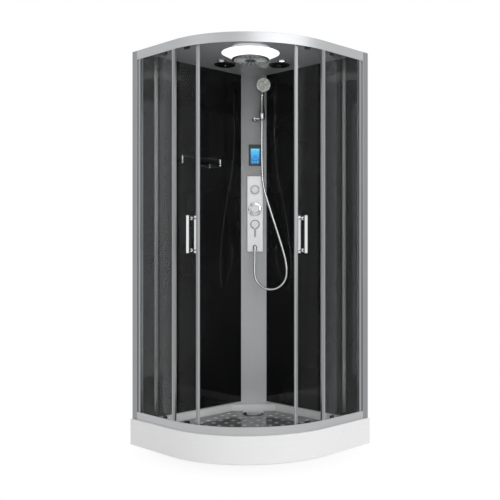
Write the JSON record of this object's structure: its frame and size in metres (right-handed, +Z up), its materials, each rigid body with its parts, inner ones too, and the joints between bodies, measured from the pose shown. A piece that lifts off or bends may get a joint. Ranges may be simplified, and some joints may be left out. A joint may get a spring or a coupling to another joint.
{
  "type": "quadrant steam shower cabin",
  "caption": "Free-standing quadrant shower cabin with curved sliding glass doors, dark back walls, control column, hand shower, rain head and low white tray.",
  "frame": {"origin": "on the floor under the middle of the square footprint", "axes": "+Z up; the two room walls are at -X and +Y, and the curved front looks along the diagonal between +X and -Y"},
  "size_m": [0.9, 0.9, 2.147],
  "materials": {
    "acrylic_white": "gloss",
    "aluminium_satin": "satin anodised",
    "clear_glass": "clear",
    "dark_glass": "back-painted gloss",
    "grey_panel": "satin",
    "silver_plate": "brushed",
    "chrome": "polished",
    "hose_silver": "polished",
    "seal_clear": "satin",
    "black_plastic": "matte",
    "wheel_white": "smooth",
    "display_blue": "lit",
    "display_dark": "gloss",
    "lamp_white": "translucent",
    "steel_tube": "zinc coated",
    "steel_bolt": "zinc coated",
    "black_rubber": "matte",
    "pipe_white": "smooth",
    "brass_valve": "raw",
    "braided_pipe": "woven"
  },
  "bodies": {
    "cabin": {"bottom_rail": "aluminium_satin", "ceiling_speaker": "black_plastic", "control_plate": "silver_plate", "corner_column": "grey_panel", "display_bezel": "display_dark", "display_screen": "display_blue", "downlights": "chrome", "drain_flange": "chrome", "drain_trap": "pipe_white", "fan_housing": "black_plastic", "fixed_glass_left": "clear_glass", "fixed_glass_right": "clear_glass", "fixed_profiles_left": "aluminium_satin", "fixed_profiles_right": "aluminium_satin", "foot_bolts": "steel_bolt", "foot_pads": "black_rubber", "glass_shelf": "clear_glass", "holder_bracket": "chrome", "hose_outlet": "chrome", "light_diffuser": "lamp_white", "post_left": "aluminium_satin", "post_right": "aluminium_satin", "rain_head": "chrome", "rain_pipe": "braided_pipe", "roof_panel": "grey_panel", "shelf_rail": "chrome", "shower_hose": "hose_silver", "shower_tray": "acrylic_white", "top_rail": "aluminium_satin", "tray_frame": "steel_tube", "valve_body": "brass_valve", "wall_frame_left": "aluminium_satin", "wall_frame_right": "aluminium_satin", "wall_panel_left": "dark_glass", "wall_panel_right": "dark_glass"},
    "door_left": {"door_glass_left": "clear_glass", "door_handle_left": "chrome", "door_seal_left": "seal_clear", "door_stiles_left": "aluminium_satin", "roller_brackets_left": "black_plastic"},
    "door_right": {"door_glass_right": "clear_glass", "door_handle_right": "chrome", "door_seal_right": "seal_clear", "door_stiles_right": "aluminium_satin", "roller_brackets_right": "black_plastic"},
    "diverter": {"diverter_knob": "chrome"},
    "mixer": {"mixer_knob": "chrome"},
    "lever": {"flow_lever": "chrome"},
    "hand_shower_set": {"holder_cradle": "chrome", "hand_shower": "chrome"},
    "drain_lid": {"drain_cover": "chrome"},
    "rotor": {"fan_rotor": "pipe_white"},
    "wheel_left_low_lead": {"wheel_left_low_lead": "wheel_white"},
    "wheel_left_low_trail": {"wheel_left_low_trail": "wheel_white"},
    "wheel_left_top_lead": {"wheel_left_top_lead": "wheel_white"},
    "wheel_left_top_trail": {"wheel_left_top_trail": "wheel_white"},
    "wheel_right_low_lead": {"wheel_right_low_lead": "wheel_white"},
    "wheel_right_low_trail": {"wheel_right_low_trail": "wheel_white"},
    "wheel_right_top_lead": {"wheel_right_top_lead": "wheel_white"},
    "wheel_right_top_trail": {"wheel_right_top_trail": "wheel_white"}
  },
  "joints": [
    {"name": "door_left_swing", "type": "hinge", "parent": "cabin", "child": "door_left", "pos_m": [-0.1, 0.1, 0.138], "axis": [0, 0, 1], "range_deg": [-0.6, 27.4]},
    {"name": "door_right_swing", "type": "hinge", "parent": "cabin", "child": "door_right", "pos_m": [-0.1, 0.1, 0.138], "axis": [0, 0, 1], "range_deg": [-26.1, 1.9]},
    {"name": "wheel_left_top_lead_turn", "type": "hinge", "parent": "door_left", "child": "wheel_left_top_lead", "pos_m": [-0.01571, -0.41596, 2.0608], "axis": [0.1612, -0.9869, 0], "continuous": true},
    {"name": "wheel_left_top_trail_turn", "type": "hinge", "parent": "door_left", "child": "wheel_left_top_trail", "pos_m": [-0.19457, -0.41418, 2.0608], "axis": [-0.1809, -0.9835, 0], "continuous": true},
    {"name": "wheel_left_low_lead_turn", "type": "hinge", "parent": "door_left", "child": "wheel_left_low_lead", "pos_m": [-0.01571, -0.41596, 0.1556], "axis": [0.1612, -0.9869, 0], "continuous": true},
    {"name": "wheel_left_low_trail_turn", "type": "hinge", "parent": "door_left", "child": "wheel_left_low_trail", "pos_m": [-0.19457, -0.41418, 0.1556], "axis": [-0.1809, -0.9835, 0], "continuous": true},
    {"name": "wheel_right_top_lead_turn", "type": "hinge", "parent": "door_right", "child": "wheel_right_top_lead", "pos_m": [0.41392, 0.00403, 2.0608], "axis": [0.983, -0.1836, 0], "continuous": true},
    {"name": "wheel_right_top_trail_turn", "type": "hinge", "parent": "door_right", "child": "wheel_right_top_trail", "pos_m": [0.41619, 0.18288, 2.0608], "axis": [0.9874, 0.1585, 0], "continuous": true},
    {"name": "wheel_right_low_lead_turn", "type": "hinge", "parent": "door_right", "child": "wheel_right_low_lead", "pos_m": [0.41392, 0.00403, 0.1556], "axis": [0.983, -0.1836, 0], "continuous": true},
    {"name": "wheel_right_low_trail_turn", "type": "hinge", "parent": "door_right", "child": "wheel_right_low_trail", "pos_m": [0.41619, 0.18288, 0.1556], "axis": [0.9874, 0.1585, 0], "continuous": true},
    {"name": "diverter_turn", "type": "hinge", "parent": "cabin", "child": "diverter", "pos_m": [-0.3701, 0.38141, 1.396], "axis": [0.7071, -0.7071, 0], "range_deg": [-60, 60]},
    {"name": "mixer_turn", "type": "hinge", "parent": "cabin", "child": "mixer", "pos_m": [-0.3701, 0.38141, 1.28], "axis": [0.7071, -0.7071, 0], "range_deg": [-120, 120]},
    {"name": "lever_turn", "type": "hinge", "parent": "cabin", "child": "lever", "pos_m": [-0.3701, 0.38141, 1.188], "axis": [0.7071, -0.7071, 0], "range_deg": [0, 90]},
    {"name": "hand_shower_tilt", "type": "hinge", "parent": "cabin", "child": "hand_shower_set", "pos_m": [-0.31706, 0.38777, 1.818], "axis": [0.7071, 0.7071, 0], "range_deg": [-4, 24]},
    {"name": "drain_cover_lift", "type": "slide", "parent": "cabin", "child": "drain_lid", "axis": [0, 0, 1], "range_m": [0, 0.05]},
    {"name": "fan_turn", "type": "hinge", "parent": "cabin", "child": "rotor", "pos_m": [-0.08301, 0.29939, 2.111], "axis": [0, 0, 1], "continuous": true}
  ],
  "couplings": [
    {"joint": "wheel_left_top_lead_turn", "follows": "door_left_swing", "ratio": -52.28},
    {"joint": "wheel_left_top_trail_turn", "follows": "door_left_swing", "ratio": -52.28},
    {"joint": "wheel_left_low_lead_turn", "follows": "door_left_swing", "ratio": 52.28},
    {"joint": "wheel_left_low_trail_turn", "follows": "door_left_swing", "ratio": 52.28},
    {"joint": "wheel_right_top_lead_turn", "follows": "door_right_swing", "ratio": -52.28},
    {"joint": "wheel_right_top_trail_turn", "follows": "door_right_swing", "ratio": -52.28},
    {"joint": "wheel_right_low_lead_turn", "follows": "door_right_swing", "ratio": 52.28},
    {"joint": "wheel_right_low_trail_turn", "follows": "door_right_swing", "ratio": 52.28}
  ]
}
